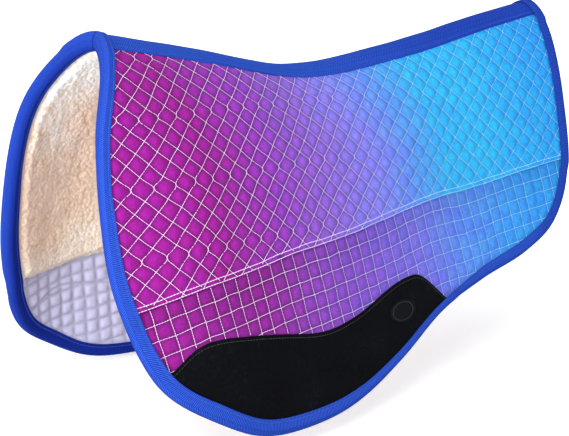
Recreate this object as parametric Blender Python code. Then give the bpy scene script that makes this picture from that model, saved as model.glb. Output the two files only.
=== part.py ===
"""Western barrel saddle pad with a contoured spine, modelled in Blender 4.5.

The pad stands as it would on the horse: X runs from the withers to the loin, the near side is
at -Y and Z is up. Every layer is cut flat, as cloth is, on a pattern of (x, s, h): x along the
spine, s over the back from the spine seam, h the height above the outer face. The flat piece is
then draped over the back. Pattern sizes are in millimetres.
"""

import functools
import math

import bmesh
import bpy

# Spine line: height of the ridge at stations from the front end of the seam
SPINE_LINE = ((-120, 20), (0, 0), (120, -24), (265, -53), (430, -38), (600, -9), (800, 18))
ORIGIN_X = 300.0
FRONT_X = -60.0
REAR_X = 680.0

# Crown and side: value at FRONT_X, value at REAR_X and what the middle adds
CROWN_REACH = (68.0, 46.0, -10.0)
SIDE_REACH = (112.0, 102.0, -6.0)
SIDE_STARTS_Z = (-221.0, -256.0, -6.0)
SIDE_LEAN = math.radians(13.4)
FOLD_RADIUS = 45.0

# How much wider and lower the far side hangs, and how far over the back it gains the width
FAR_WIDER = 13.0
FAR_LOWER = 17.0
FAR_REACH = 120.0

# Plan of the side at SIDE_LEVEL: its half-width, then the slope of each zone
SIDE_LEVEL = -230.0
HALF_WIDTH = 143.8
FRONT_TUCK = 0.362
SIDE_TAPER = -0.1016
REAR_FLARE = 0.0227
TUCK_ENDS = (-20.0, 60.0)
FLARE_STARTS = (430.0, 540.0)

# Outline of one side on the flat pattern, from the withers round to the loin
OUTLINE = (
    (-9, 0), (-27, 60), (-57, 142), (-68, 235), (-64, 320), (-36, 408), (18, 452),
    (92, 472), (190, 451), (310, 397), (395, 358), (480, 341), (565, 333), (628, 309),
    (667, 250), (681, 150), (688, 60), (687, 0),
)
SEAM = ((-90, 342), (0, 318), (92, 290), (186, 256), (288, 230), (401, 219), (520, 225), (720, 236))
FLEECE_HEM = ((-90, 346), (-5, 347), (60, 330), (190, 284), (400, 248), (520, 250), (720, 262))
LEATHER_TOP = (
    (-23, 397), (18, 369), (84, 360), (178, 354), (236, 337), (300, 310), (338, 301),
    (366, 306), (405, 343),
)

# Quilting: pitch of the diamonds along the spine and over the back, the crossing that they are
# counted from, how far their rows hang with the spine, pitch of the squares along the seam and
# away from it, rise of each
DIAMOND = (24.5, 25.0)
DIAMOND_AT = (39.0, 125.0)
HANG = 1.07
SQUARE = (17.4, 18.0)
LINING_SQUARE = (34.8, 36.0)
FIRST_ROW = 16.0
DIAMOND_LOFT = 2.2
SQUARE_LOFT = 1.4
LINING_LOFT = 1.6
LEAST_LOFT = 1.1
PRESSED = 0.2
EASE = 4.0

# Thickness of each layer
SHELL = 2.0
CORE = 9.6
FLEECE = 7.0
FLEECE_EDGE = 1.6
WADDING = 5.2
LINING = 1.6
LEATHER = 1.5
TAPE = 1.6
BINDING = 1.6

# Fits between neighbours
CLEARANCE = 0.4
RAISED = 0.7
SPINE_GAP = 0.6
TUCK_IN = 12.0
HEM = 8.0
STEP_DOWN = 18.0
STEP_STARTS = 3.0
TAPE_STEP = (8.0, 10.0)

# Widths of the binding and of the tape over the spine
BINDING_FACE = 16.0
BINDING_ROLL = 2.8
TAPE_HALF_FRONT = 38.0
TAPE_HALF_REAR = 28.0
FLEECE_BEVEL = 8.0
FLEECE_CLEAR = 1.5

# Between these stations the side is flat, so the leather needs no crease there
SIDE_FLAT = (62.0, 430.0)

# Where the outline leaves the leather, as s at the front and x at the rear
LEATHER_ENDS = (386.0, 418.0)

# Bare oval badge on the near wear leather
BADGE_AT = (322.0, 339.0)
BADGE_SIZE = (46.0, 28.0)
BADGE_THICK = 1.2
BADGE_RIM = 2.5
BADGE_SUNK = 0.4
BADGE_GAP = 0.3

# Pattern lines on which every layer is creased, so that stacked layers bend alike
CREASE_X = (-50, -30, -12, 6, 24, 42, 62, 130, 195, 260, 325, 430, 520, 610)
CREASE_S = (9, 19, 31, 46, 62, 80, 102, 130, 170, 225, 290)
TAPE_CREASES = 2
BAY = 62.0
NEAREST = 8.0
TRIM_STEP = 14.0
SNAP = 0.9
SAME = 0.05

# Half the distance over which a slope is taken
STRIDE = 2.0

# Height of each face, from the outer face of the shell inwards
CORE_TOP = -SHELL - CLEARANCE
CORE_BASE = CORE_TOP - CORE
FLEECE_TOP = CORE_BASE - CLEARANCE
FLEECE_FACE = FLEECE_TOP - FLEECE
FLEECE_RIM = FLEECE_TOP - FLEECE_EDGE
LOWER_TOP = CORE_TOP
LOWER_BASE = LOWER_TOP - SHELL
WADDING_TOP = LOWER_BASE - CLEARANCE
WADDING_BASE = WADDING_TOP - WADDING
LINING_TOP = WADDING_BASE - CLEARANCE
LINING_FACE = LINING_TOP - LINING
LEATHER_BASE = LOWER_TOP + CLEARANCE
LEATHER_FACE = LEATHER_BASE + LEATHER
TAPE_FACE = RAISED + TAPE
RIM = BINDING + CLEARANCE

NEAR = -1
FAR = 1
CREASE, QUILT, TRIM, BEVEL, KEPT = range(1, 6)

FUCHSIA = (0.42, 0.03, 0.37)
PERIWINKLE = (0.25, 0.2, 0.7)
ROYAL_BLUE = (0.03, 0.09, 0.55)
BLACK = (0.012, 0.012, 0.014)
CREAM = (0.75, 0.6, 0.48)
WHITE = (0.6, 0.6, 0.72)
GREY = (0.3, 0.3, 0.3)


def spline(points, step):
    """Points about every step along a smooth curve through the given ones."""
    out = []
    last = len(points) - 1
    for i in range(last):
        p, q, r, w = (points[min(max(k, 0), last)] for k in range(i - 1, i + 3))
        count = max(1, round(math.dist(q, r) / step))
        for k in range(count):
            t = k / count
            out.append(tuple(
                0.5 * (2 * b + (c - a) * t + (2 * a - 5 * b + 4 * c - d) * t * t
                       + (3 * b - a - 3 * c + d) * t ** 3)
                for a, b, c, d in zip(p, q, r, w)
            ))
    out.append(tuple(float(v) for v in points[last]))
    return out


def height_at(curve, x):
    for (x0, v0), (x1, v1) in zip(curve, curve[1:]):
        if x <= x1:
            break
    return v0 + (v1 - v0) * (x - x0) / (x1 - x0)


def clamp(value):
    return min(max(value, 0.0), 1.0)


SPINE_CURVE = spline(SPINE_LINE, 12)
SEAM_CURVE = spline(SEAM, 12)
HEM_CURVE = spline(FLEECE_HEM, 12)
LEATHER_CURVE = spline(LEATHER_TOP, TRIM_STEP)
EDGE = spline(OUTLINE, 3)
PAD_DROP = max(s for _, s in OUTLINE)
ORIGIN_Z = height_at(SPINE_CURVE, ORIGIN_X) + FLEECE_FACE
HUNG = [(x, DIAMOND_AT[1] + HANG * min(height_at(SPINE_CURVE, x), 0)) for x in CREASE_X]


def seam_at(x):
    return height_at(SEAM_CURVE, x)


def hem_at(x):
    return height_at(HEM_CURVE, x)


def leather_at(x):
    return height_at(LEATHER_CURVE, x)


def hung(x):
    """Where the row of diamonds through DIAMOND_AT lies, level with the dip of the spine."""
    return height_at(HUNG, x)


def tape_half(x):
    return TAPE_HALF_FRONT + (TAPE_HALF_REAR - TAPE_HALF_FRONT) * clamp(x / OUTLINE[-1][0])


def varied(values, x):
    front, rear, middle = values
    w = clamp((x - FRONT_X) / (REAR_X - FRONT_X))
    return front + (rear - front) * w + middle * 4 * w * (1 - w)


def ramp(x, ends):
    """Integral of a slope that grows from 0 to 1 between two stations."""
    t = min(max(x - ends[0], 0), ends[1] - ends[0])
    return t * t / (2 * (ends[1] - ends[0])) + max(x - ends[1], 0)


def run_out(x):
    return (FRONT_TUCK * x + (SIDE_TAPER - FRONT_TUCK) * ramp(x, TUCK_ENDS)
            + (REAR_FLARE - SIDE_TAPER) * ramp(x, FLARE_STARTS))


@functools.lru_cache(maxsize=None)
def section(x):
    """Points (s, y, z) down one side of the pad at x, from the ridge over the crown."""
    top = height_at(SPINE_CURVE, x)
    start = varied(SIDE_STARTS_Z, x)
    out = HALF_WIDTH + run_out(x) - run_out(0) + (SIDE_LEVEL - start) * math.tan(SIDE_LEAN)
    reach = varied(SIDE_REACH, x)
    ys = (0, varied(CROWN_REACH, x), out - reach * math.sin(SIDE_LEAN), out)
    zs = (top, top, start + reach * math.cos(SIDE_LEAN), start)
    points = []
    for k in range(49):
        t = k / 48
        w = ((1 - t) ** 3, 3 * (1 - t) ** 2 * t, 3 * (1 - t) * t * t, t ** 3)
        y = sum(a * b for a, b in zip(w, ys))
        z = sum(a * b for a, b in zip(w, zs))
        s = points[-1][0] + math.dist(points[-1][1:], (y, z)) if points else 0.0
        points.append((s, y, z))
    s, y, z = points[-1]
    points.append((s + PAD_DROP, y + PAD_DROP * math.sin(SIDE_LEAN),
                   z - PAD_DROP * math.cos(SIDE_LEAN)))
    return points


def outer_face(x, s):
    """Point of the outer face; s below 0 is past the ridge."""
    points = section(x)
    for a, b in zip(points, points[1:]):
        if abs(s) <= b[0]:
            break
    t = (abs(s) - a[0]) / (b[0] - a[0])
    return (x, math.copysign(a[1] + (b[1] - a[1]) * t, s), a[2] + (b[2] - a[2]) * t)


@functools.lru_cache(maxsize=None)
def drape(x, s, h, side=NEAR):
    """Point of the draped pad, in metres, from the flat pattern."""
    px, py, pz = outer_face(x, s)
    ax = [q - p for p, q in zip(outer_face(x - STRIDE, s), outer_face(x + STRIDE, s))]
    down = [q - p for p, q in zip(outer_face(x, s - STRIDE), outer_face(x, s + STRIDE))]
    n = (ax[1] * down[2] - ax[2] * down[1], ax[2] * down[0] - ax[0] * down[2],
         ax[0] * down[1] - ax[1] * down[0])
    size = math.hypot(*n)
    across = math.hypot(n[1], n[2])
    fold = abs(s) / FOLD_RADIUS
    turn = min(max(math.atan2(n[1], n[2]), -fold), fold)
    px += h * n[0] / size
    py += h * across * math.sin(turn) / size
    pz += h * across * math.cos(turn) / size
    if side * s > 0:
        w = clamp(abs(s) / FAR_REACH)
        py += math.copysign(FAR_WIDER * w * w * (3 - 2 * w), s)
        pz -= FAR_LOWER * abs(s) / PAD_DROP
    return ((px - ORIGIN_X) / 1000, side * py / 1000, (pz - ORIGIN_Z) / 1000)


def inset(depth):
    """EDGE moved into the pad."""
    out = []
    last = len(EDGE) - 1
    for i, (x, s) in enumerate(EDGE):
        (x0, s0), (x1, s1) = EDGE[max(i - 1, 0)], EDGE[min(i + 1, last)]
        size = math.dist((x0, s0), (x1, s1))
        nx, ns = (s1 - s0) / size, (x0 - x1) / size
        if i in (0, last):
            nx, ns = math.copysign(1, nx), 0
        out.append((x + nx * depth, s + ns * depth))
    return out


def rim_distance(x, s):
    """How far a point of the pattern lies inside the outline."""
    best = math.inf
    for (x0, s0), (x1, s1) in zip(EDGE, EDGE[1:]):
        dx, ds = x1 - x0, s1 - s0
        t = clamp(((x - x0) * dx + (abs(s) - s0) * ds) / (dx * dx + ds * ds))
        best = min(best, math.hypot(x - x0 - t * dx, abs(s) - s0 - t * ds))
    return best


def edge_marks():
    """Curves that cross the outline where the pieces need a corner."""
    marks = [lambda x, s, c=c: x - c for c in CREASE_X]
    marks += [lambda x, s, c=c: s - c for c in CREASE_S]
    for level in (seam_at, hem_at):
        for drop in (STEP_STARTS, STEP_STARTS + STEP_DOWN):
            marks.append(lambda x, s, f=level, d=drop: s - f(x) - d)
    front, rear = LEATHER_ENDS
    for c in (front - STEP_DOWN, front):
        marks.append(lambda x, s, c=c: s - c if x < CREASE_X[3] else 1)
    for c in (rear, rear + STEP_DOWN):
        marks.append(lambda x, s, c=c: x - c)
    return marks


def fold(x, s, h, side=NEAR):
    """Point of the draped pad on the flat triangles that all hidden faces bend along."""
    best = -math.inf
    for (x0, s0), (x1, s1), (x2, s2) in CREASED:
        area = (x1 - x0) * (s2 - s0) - (x2 - x0) * (s1 - s0)
        b = ((x - x0) * (s2 - s0) - (x2 - x0) * (s - s0)) / area
        c = ((x1 - x0) * (s - s0) - (x - x0) * (s1 - s0)) / area
        if min(1 - b - c, b, c) > best:
            best = min(1 - b - c, b, c)
            shares = ((x0, s0, 1 - b - c), (x1, s1, b), (x2, s2, c))
    corners = [drape(i, j, h, side) for i, j, _ in shares]
    return [sum(share[2] * co[k] for share, co in zip(shares, corners)) for k in range(3)]


def point_at(curve, at):
    i = min(int(at), len(curve) - 2)
    (x0, s0), (x1, s1) = curve[i], curve[i + 1]
    return (x0 + (x1 - x0) * (at - i), s0 + (s1 - s0) * (at - i))


def stations():
    """Positions along EDGE where the layers and the binding have their corners."""
    last = len(EDGE) - 1
    found = {float(last)}
    for mark in edge_marks():
        for i in range(last):
            before, after = mark(*EDGE[i]), mark(*EDGE[i + 1])
            if before * after < 0:
                found.add(i + before / (before - after))
    out = [0.0]
    for at in sorted(found):
        bay = math.dist(point_at(EDGE, out[-1]), point_at(EDGE, at))
        if bay < NEAREST and at < last:
            continue
        parts = math.ceil(bay / BAY)
        start = out[-1]
        out += [start + (at - start) * k / parts for k in range(1, parts + 1)]
    return out


STATIONS = stations()


def sheet():
    """The whole pad laid flat as one face that ends inside the binding."""
    bm = bmesh.new()
    bm.edges.layers.int.new("line")
    bm.verts.layers.int.new("line")
    curve = inset(RIM)
    near = [point_at(curve, at) for at in STATIONS]
    far = [(x, -s) for x, s in reversed(near[1:-1])]
    bm.faces.new([bm.verts.new((x, s, 0)) for x, s in near + far])
    return bm


def cut(bm, at, normal, line=CREASE, level=None, trim=False):
    """Draws a line across the flat sheet, or trims what lies past it; level bends the line."""
    if level:
        for v in bm.verts:
            v.co.y -= level(v.co.x)
    known = set(bm.verts)
    found = bmesh.ops.bisect_plane(
        bm, geom=bm.verts[:] + bm.edges[:] + bm.faces[:], dist=SAME if trim else SNAP,
        plane_co=(at[0], at[1], 0), plane_no=(normal[0], normal[1], 0), clear_outer=trim,
    )
    keys = {bmesh.types.BMEdge: bm.edges.layers.int["line"],
            bmesh.types.BMVert: bm.verts.layers.int["line"]}
    for item in found["geom_cut"]:
        key = keys[type(item)]
        if item not in known and item[key] < line:
            item[key] = line
    if level:
        for v in bm.verts:
            v.co.y += level(v.co.x)


def ring(bm, depth):
    """Draws the line that runs at this depth inside the outline over a sheet of triangles."""
    inside = {v: rim_distance(*v.co[:2]) > depth for v in bm.verts}
    ends = set()
    for e in bm.edges[:]:
        a, b = e.verts
        if inside[a] == inside[b]:
            continue
        low, high = 0.0, 1.0
        for _ in range(12):
            middle = (low + high) / 2
            if (rim_distance(*a.co.lerp(b.co, middle)[:2]) > depth) == inside[a]:
                low = middle
            else:
                high = middle
        ends.add(bmesh.utils.edge_split(e, a, low)[1])
    key = bm.edges.layers.int["line"]
    for f in bm.faces[:]:
        crossing = [v for v in f.verts if v in ends]
        if len(crossing) == 2:
            bmesh.utils.face_split(f, *crossing)[1].edge[key] = BEVEL


def creased_half():
    """Half the pad in the triangles that every stacked layer bends along."""
    bm = sheet()
    cut(bm, (0, SPINE_GAP / 2), (0, -1), trim=True)
    for x in CREASE_X:
        cut(bm, (x, 0), (1, 0))
    for s in CREASE_S:
        cut(bm, (0, s), (0, 1))
    bmesh.ops.triangulate(bm, faces=bm.faces[:])
    key = bm.edges.layers.int["line"]
    for e in bm.edges:
        e[key] = 0 if e.is_boundary else CREASE
    return bm


def diamonds(bm):
    """The two families of diagonal quilting lines."""
    along, over = DIAMOND
    for k in range(math.floor((FRONT_X - REAR_X) / along), math.ceil(2 * REAR_X / along)):
        at = DIAMOND_AT[0] + k * along
        for way in (-over, over):
            cut(bm, (at, 0), (over, way * along / over), QUILT, level=hung)


def squares(bm, pitch):
    """Quilting in rows along the seam and columns across it."""
    along, over = pitch
    for k in range(round(240 / over)):
        cut(bm, (0, FIRST_ROW + k * over), (0, 1), QUILT, level=seam_at)
    for k in range(-round(80 / along), round(720 / along)):
        cut(bm, (k * along, 0), (1, 0), QUILT)


def dissolve(bm, line, inside=lambda x, s: True):
    """Takes the lines of one kind out of the faces whose middle is inside."""
    key = bm.edges.layers.int["line"]
    own = {f for f in bm.faces if inside(*f.calc_center_median()[:2])}
    edges = [e for e in bm.edges
             if e[key] == line and len(e.link_faces) == 2 and own.issuperset(e.link_faces)]
    ends = {v for e in edges for v in e.verts}
    bmesh.ops.dissolve_edges(bm, edges=edges, use_verts=False)
    spare = [v for v in ends if v.is_valid and len(v.link_edges) == 2 and not v.is_boundary]
    bmesh.ops.dissolve_verts(bm, verts=spare)


def face_of(bm, quilted=None, loft=None, bevelled=False, cell=lambda x, s: (x, s)):
    """A copy of the sheet as one face of a piece, with puffs where it is quilted.

    quilted is above 0 in the quilting; cell gives the point that speaks for a whole cell.
    """
    own = bm.copy()
    dissolve(own, TRIM)
    if not bevelled:
        dissolve(own, BEVEL)
    if quilted:
        dissolve(own, CREASE, lambda x, s: quilted(*cell(x, s)) > 0)
        dissolve(own, QUILT, lambda x, s: quilted(*cell(x, s)) <= 0)
        key = own.verts.layers.int["line"]
        spare = [v for v in own.verts if v[key] == QUILT and len(v.link_edges) == 2]
        bmesh.ops.dissolve_verts(own, verts=spare)
    puff = own.verts.layers.float.new("puff")
    free = own.verts.layers.int.new("free")
    for v in own.verts:
        v[free] = int(bool(quilted) and quilted(*v.co[:2]) > 1)
    for f in own.faces[:]:
        rise = loft(*f.calc_center_median()[:2]) if loft else 0
        if rise > LEAST_LOFT:
            bmesh.ops.poke(own, faces=[f])["verts"][0][puff] = rise
    bmesh.ops.triangulate(own, faces=own.faces[:])
    return own


def material(name, colour, roughness=0.85):
    made = bpy.data.materials.new(name)
    made.use_nodes = True
    shader = made.node_tree.nodes["Principled BSDF"]
    shader.inputs["Base Color"].default_value = (*colour, 1)
    shader.inputs["Roughness"].default_value = roughness
    return made


def add(bm, name, colour):
    """Puts the closed mesh into the scene, facing out."""
    bmesh.ops.triangulate(bm, faces=[f for f in bm.faces if len(f.verts) > 3])
    bmesh.ops.recalc_face_normals(bm, faces=bm.faces[:])
    if bm.calc_volume(signed=True) < 0:
        bmesh.ops.reverse_faces(bm, faces=bm.faces[:])
    mesh = bpy.data.meshes.new(name)
    bm.to_mesh(mesh)
    bm.free()
    mesh.materials.append(material(name, colour))
    made = bpy.data.objects.new(name, mesh)
    PAD.objects.link(made)
    return made


def share_rim(first, second):
    """Gives the edge of each face the corners that the other's edge has."""
    for one, other in ((first, second), (second, first)):
        have = [v.co for v in one.verts if v.is_boundary]
        for at in [v.co for v in other.verts if v.is_boundary]:
            if any((at - co).length_squared < SAME * SAME for co in have):
                continue
            for e in one.edges:
                a, b = (v.co for v in e.verts)
                share = (at - a).dot(b - a) / (b - a).length_squared
                if e.is_boundary and 0 < share < 1 and (a.lerp(b, share) - at).length < SNAP:
                    bmesh.utils.edge_split(e, e.verts[0], share)[1].co = at
                    break
        bmesh.ops.triangulate(one, faces=[f for f in one.faces if len(f.verts) > 3])


def slab(name, top, top_h, base, base_h, side, colour, place=fold):
    """Joins two faces with the same edge into a draped solid; top_h and base_h give h."""
    bm = bmesh.new()
    made = {}
    share_rim(top, base)
    for face, level, sign in ((top, top_h, 1), (base, base_h, -1)):
        puff = face.verts.layers.float["puff"]
        free = face.verts.layers.int["free"]
        for v in face.verts:
            x, s, _ = v.co
            h = (level(x, s) if callable(level) else level) + sign * v[puff]
            made[v] = bm.verts.new((drape if v[free] else place)(x, s, h, side))
        for f in face.faces:
            bm.faces.new([made[v] for v in f.verts])
    rim = [v for v in base.verts if v.is_boundary]
    twin = {v: min(rim, key=lambda w, v=v: (w.co - v.co).length_squared)
            for v in top.verts if v.is_boundary}
    for e in top.edges:
        if e.is_boundary:
            a, b = e.verts
            bm.faces.new((made[a], made[b], made[twin[b]], made[twin[a]]))
    top.free()
    base.free()
    return add(bm, name, colour)


def eased(most, gap, reach):
    """Loft of a quilted cell whose middle is gap from whatever presses on it."""
    return min(most, PRESSED / (1 - gap / reach)) if gap < reach else most


def past_binding(x, s):
    return rim_distance(x, s) - BINDING_FACE - EASE


def diamond_middle(x, s):
    """Middle of the diamond that holds a point of the pattern."""
    i = (x - DIAMOND_AT[0]) / DIAMOND[0]
    j = (s - hung(x)) / DIAMOND[1]
    rising, falling = math.floor(i + j) + 0.5, math.floor(i - j) + 0.5
    x = DIAMOND_AT[0] + DIAMOND[0] * (rising + falling) / 2
    return (x, hung(x) + DIAMOND[1] * (rising - falling) / 2)


def diamond_loft(x, s):
    gap = min(s - tape_half(x), rim_distance(x, s) - BINDING_FACE, seam_at(x) - HEM - s)
    return eased(DIAMOND_LOFT, gap, DIAMOND[1] / 2)


def off_leather(x, s):
    """How far a point lies from the top edge of the leather, square to it."""
    slope = (leather_at(x + STRIDE / 2) - leather_at(x - STRIDE / 2)) / STRIDE
    return (leather_at(x) - s) / math.hypot(1, slope)


def square_loft(x, s):
    gap = min(off_leather(x, s), rim_distance(x, s) - BINDING_FACE, s - seam_at(x))
    return eased(SQUARE_LOFT, gap, SQUARE[0] / math.sqrt(2))


def lining_loft(x, s):
    gap = min(rim_distance(x, s) - BINDING_FACE, s - hem_at(x))
    return eased(LINING_LOFT, gap, LINING_SQUARE[0] / math.sqrt(2))


def fleece_height(x, s):
    """The pile thins towards the binding and towards its hem."""
    room = min(rim_distance(x, s) - BINDING_FACE - FLEECE_CLEAR, hem_at(x) - s)
    return FLEECE_RIM + (FLEECE_FACE - FLEECE_RIM) * clamp(room / FLEECE_BEVEL)


def binding_outer(x, s):
    """Height of the binding's outer leg over what it covers at that point of the outline."""
    front, rear = LEATHER_ENDS
    if x < CREASE_X[3]:
        leather = clamp((s - front + STEP_DOWN) / STEP_DOWN)
    else:
        leather = clamp((rear + STEP_DOWN - x) / STEP_DOWN)
    upper = 1 - clamp((s - seam_at(x) - STEP_STARTS) / STEP_DOWN)
    tape = 1 - clamp((s - tape_half(x) - TAPE_STEP[0]) / TAPE_STEP[1])
    h = LOWER_TOP + RAISED
    h += (LEATHER_FACE + RAISED - h) * leather
    h += (RAISED - h) * upper
    return h + (TAPE_FACE + RAISED - h) * tape


def binding_inner(x, s):
    lined = clamp((s - hem_at(x) - STEP_STARTS) / STEP_DOWN)
    fleece = FLEECE_RIM - RAISED
    return fleece + (LINING_FACE - RAISED - fleece) * lined


def upper_panel(side, name):
    bm = creased_half()
    cut(bm, (0, 0), (0, 1), level=seam_at, trim=True)
    base = face_of(bm)
    diamonds(bm)
    top = face_of(bm, lambda x, s: diamond_loft(x, s) - LEAST_LOFT, diamond_loft,
                  cell=diamond_middle)
    slab(name, top, 0, base, -SHELL, side, FUCHSIA)


def core(side, name):
    bm = creased_half()
    cut(bm, (0, -TUCK_IN - SPINE_GAP), (0, 1), level=seam_at, trim=True)
    slab(name, face_of(bm), CORE_TOP, face_of(bm), CORE_BASE, side, GREY)


def fleece(side, name):
    bm = creased_half()
    cut(bm, (0, 0), (0, 1), level=hem_at, trim=True)
    top = face_of(bm)
    ring(bm, BINDING_FACE + 1)
    cut(bm, (0, -HEM), (0, 1), BEVEL, level=hem_at)
    slab(name, top, FLEECE_TOP, face_of(bm, bevelled=True), fleece_height, side, CREAM)


def below_seam():
    bm = creased_half()
    cut(bm, (0, -TUCK_IN), (0, -1), level=seam_at, trim=True)
    return bm


def lower_panel(side, name):
    bm = below_seam()
    base = face_of(bm)
    for level in (seam_at, leather_at):
        cut(bm, (0, 0), (0, 1), KEPT, level=level)
    squares(bm, SQUARE)
    top = face_of(bm, lambda x, s: min(leather_at(x) - s, s - seam_at(x), past_binding(x, s)),
                  square_loft)
    slab(name, top, LOWER_TOP, base, LOWER_BASE, side, PERIWINKLE)


def wadding(side, name):
    bm = below_seam()
    slab(name, face_of(bm), WADDING_TOP, face_of(bm), WADDING_BASE, side, WHITE)


def lining(side, name):
    bm = below_seam()
    top = face_of(bm)
    cut(bm, (0, 0), (0, 1), KEPT, level=hem_at)
    squares(bm, LINING_SQUARE)
    base = face_of(bm, lambda x, s: min(s - hem_at(x), past_binding(x, s)), lining_loft)
    slab(name, top, LINING_TOP, base, LINING_FACE, side, WHITE)


def wear_leather(side, name):
    bm = sheet()
    for x, _ in LEATHER_CURVE:
        cut(bm, (x, 0), (1, 0), TRIM)
    for x in CREASE_X:
        if not SIDE_FLAT[0] < x < SIDE_FLAT[1]:
            cut(bm, (x, 0), (1, 0), KEPT)
    cut(bm, (0, 0), (0, -1), level=leather_at, trim=True)
    slab(name, face_of(bm), LEATHER_FACE, face_of(bm), LEATHER_BASE, side, BLACK)


def spine_tape(name):
    bm = sheet()
    for x in CREASE_X:
        cut(bm, (x, 0), (1, 0))
    cut(bm, (0, 0), (0, 1), level=tape_half, trim=True)
    cut(bm, (0, 0), (0, -1), level=lambda x: -tape_half(x), trim=True)
    for s in (0, *CREASE_S[:TAPE_CREASES]):
        cut(bm, (0, s), (0, 1))
        cut(bm, (0, -s), (0, 1))
    slab(name, face_of(bm), TAPE_FACE, face_of(bm), RAISED, NEAR, ROYAL_BLUE, drape)


def binding_section(x, s):
    """Folded tape in section, as depth inside the outline and h."""
    outer = binding_outer(x, s)
    inner = binding_inner(x, s)
    over, under = outer + BINDING, inner - BINDING
    return (
        (BINDING_FACE, outer), (BINDING_FACE, over), (BINDING_ROLL, over),
        (0, over - BINDING_ROLL), (0, under + BINDING_ROLL), (BINDING_ROLL, under),
        (BINDING_FACE, under), (BINDING_FACE, inner), (BINDING, inner), (BINDING, outer),
    )


def edge_binding(name):
    """The folded tape run round the whole outline as one loop."""
    bm = bmesh.new()
    depths = (0, BINDING, BINDING_ROLL, BINDING_FACE)
    curves = {depth: inset(depth) for depth in depths}
    rings = []
    for at in STATIONS:
        profile = binding_section(*point_at(EDGE, at))
        rings.append([(*point_at(curves[depth], at), h) for depth, h in profile])
    rings += [[(x, -s, h) for x, s, h in ring] for ring in reversed(rings[1:-1])]
    made = [[bm.verts.new(drape(*point)) for point in ring] for ring in rings]
    for i, ring in enumerate(made):
        for k in range(len(ring)):
            bm.faces.new((made[i - 1][k - 1], made[i - 1][k], ring[k], ring[k - 1]))
    add(bm, name, ROYAL_BLUE)


def badge(name):
    """Oval disc with a sunk field, left bare."""
    bm = bmesh.new()
    bmesh.ops.create_cone(bm, cap_ends=True, segments=24, radius1=1, radius2=1, depth=1)
    for v in bm.verts:
        v.co.x *= BADGE_SIZE[0] / 2
        v.co.y *= BADGE_SIZE[1] / 2
        v.co.z = (v.co.z + 0.5) * BADGE_THICK
    face = max(bm.faces, key=lambda f: f.calc_center_median().z)
    bmesh.ops.inset_region(bm, faces=[face], thickness=BADGE_RIM, use_even_offset=True)
    bmesh.ops.inset_region(bm, faces=[face], thickness=BADGE_SUNK, depth=-BADGE_SUNK)
    x, s = BADGE_AT
    origin, ahead, below, above = (
        drape(*BADGE_AT, LEATHER_FACE + BADGE_GAP), drape(x + 1, s, LEATHER_FACE + BADGE_GAP),
        drape(x, s + 1, LEATHER_FACE + BADGE_GAP), drape(x, s, LEATHER_FACE + BADGE_GAP + 1),
    )
    along = [q - p for p, q in zip(origin, ahead)]
    out = [q - p for p, q in zip(origin, above)]
    across = [q - p for p, q in zip(origin, below)]
    for v in bm.verts:
        a, b, c = v.co
        v.co = [o + a * i + b * j + c * k for o, i, j, k in zip(origin, along, across, out)]
    add(bm, name, BLACK)


FLAT_HALF = creased_half()
CREASED = [[tuple(v.co[:2]) for v in f.verts] for f in FLAT_HALF.faces]

for old in list(bpy.data.objects):
    bpy.data.objects.remove(old)
PAD = bpy.data.collections.new("Barrel saddle pad")
bpy.context.scene.collection.children.link(PAD)

for side, hand in ((NEAR, "left"), (FAR, "right")):
    upper_panel(side, "upper_panel_" + hand)
    core(side, "core_" + hand)
    fleece(side, "fleece_" + hand)
    lower_panel(side, "lower_panel_" + hand)
    wadding(side, "wadding_" + hand)
    lining(side, "lining_" + hand)
    wear_leather(side, "wear_leather_" + hand)
spine_tape("spine_tape")
edge_binding("edge_binding")
badge("badge")
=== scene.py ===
"""Looks of the western barrel saddle pad.

Pattern coordinates are (x, s, h) in millimetres: x along the spine, s over the back from the
spine seam, h the height above the outer face. drape() lays them over the horse's back in metres.
"""

import math
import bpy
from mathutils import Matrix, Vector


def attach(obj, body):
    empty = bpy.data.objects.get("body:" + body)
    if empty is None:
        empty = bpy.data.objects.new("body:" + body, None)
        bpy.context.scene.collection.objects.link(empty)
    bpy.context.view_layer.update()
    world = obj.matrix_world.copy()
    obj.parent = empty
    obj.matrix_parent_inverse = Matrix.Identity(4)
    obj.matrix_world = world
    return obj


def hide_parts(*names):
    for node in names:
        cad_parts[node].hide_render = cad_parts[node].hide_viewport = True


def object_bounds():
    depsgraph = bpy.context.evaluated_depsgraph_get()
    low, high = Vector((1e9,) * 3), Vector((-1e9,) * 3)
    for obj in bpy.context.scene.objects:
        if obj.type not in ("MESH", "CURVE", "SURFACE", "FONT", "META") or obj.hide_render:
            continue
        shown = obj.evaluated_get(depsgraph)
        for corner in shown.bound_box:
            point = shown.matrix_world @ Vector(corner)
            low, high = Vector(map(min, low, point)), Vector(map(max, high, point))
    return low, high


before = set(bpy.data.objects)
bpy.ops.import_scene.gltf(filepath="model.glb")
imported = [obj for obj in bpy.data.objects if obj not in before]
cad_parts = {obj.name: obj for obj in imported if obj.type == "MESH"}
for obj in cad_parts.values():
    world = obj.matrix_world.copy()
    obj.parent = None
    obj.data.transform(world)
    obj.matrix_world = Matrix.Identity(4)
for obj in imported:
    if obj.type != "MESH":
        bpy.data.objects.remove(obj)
CAD_BOX = [list(corner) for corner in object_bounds()]

import bmesh
import bpy
import numpy as np
from mathutils import Matrix, Vector

# Spine line, origin and ends of the pad
SPINE_LINE = ((-120, 20), (0, 0), (120, -24), (265, -53), (430, -38), (600, -9), (800, 18))
ORIGIN_X = 300.0
FRONT_X = -60.0
REAR_X = 680.0

# Half of the gap between the two sides of the pad
HALF_GAP = 0.3

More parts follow.
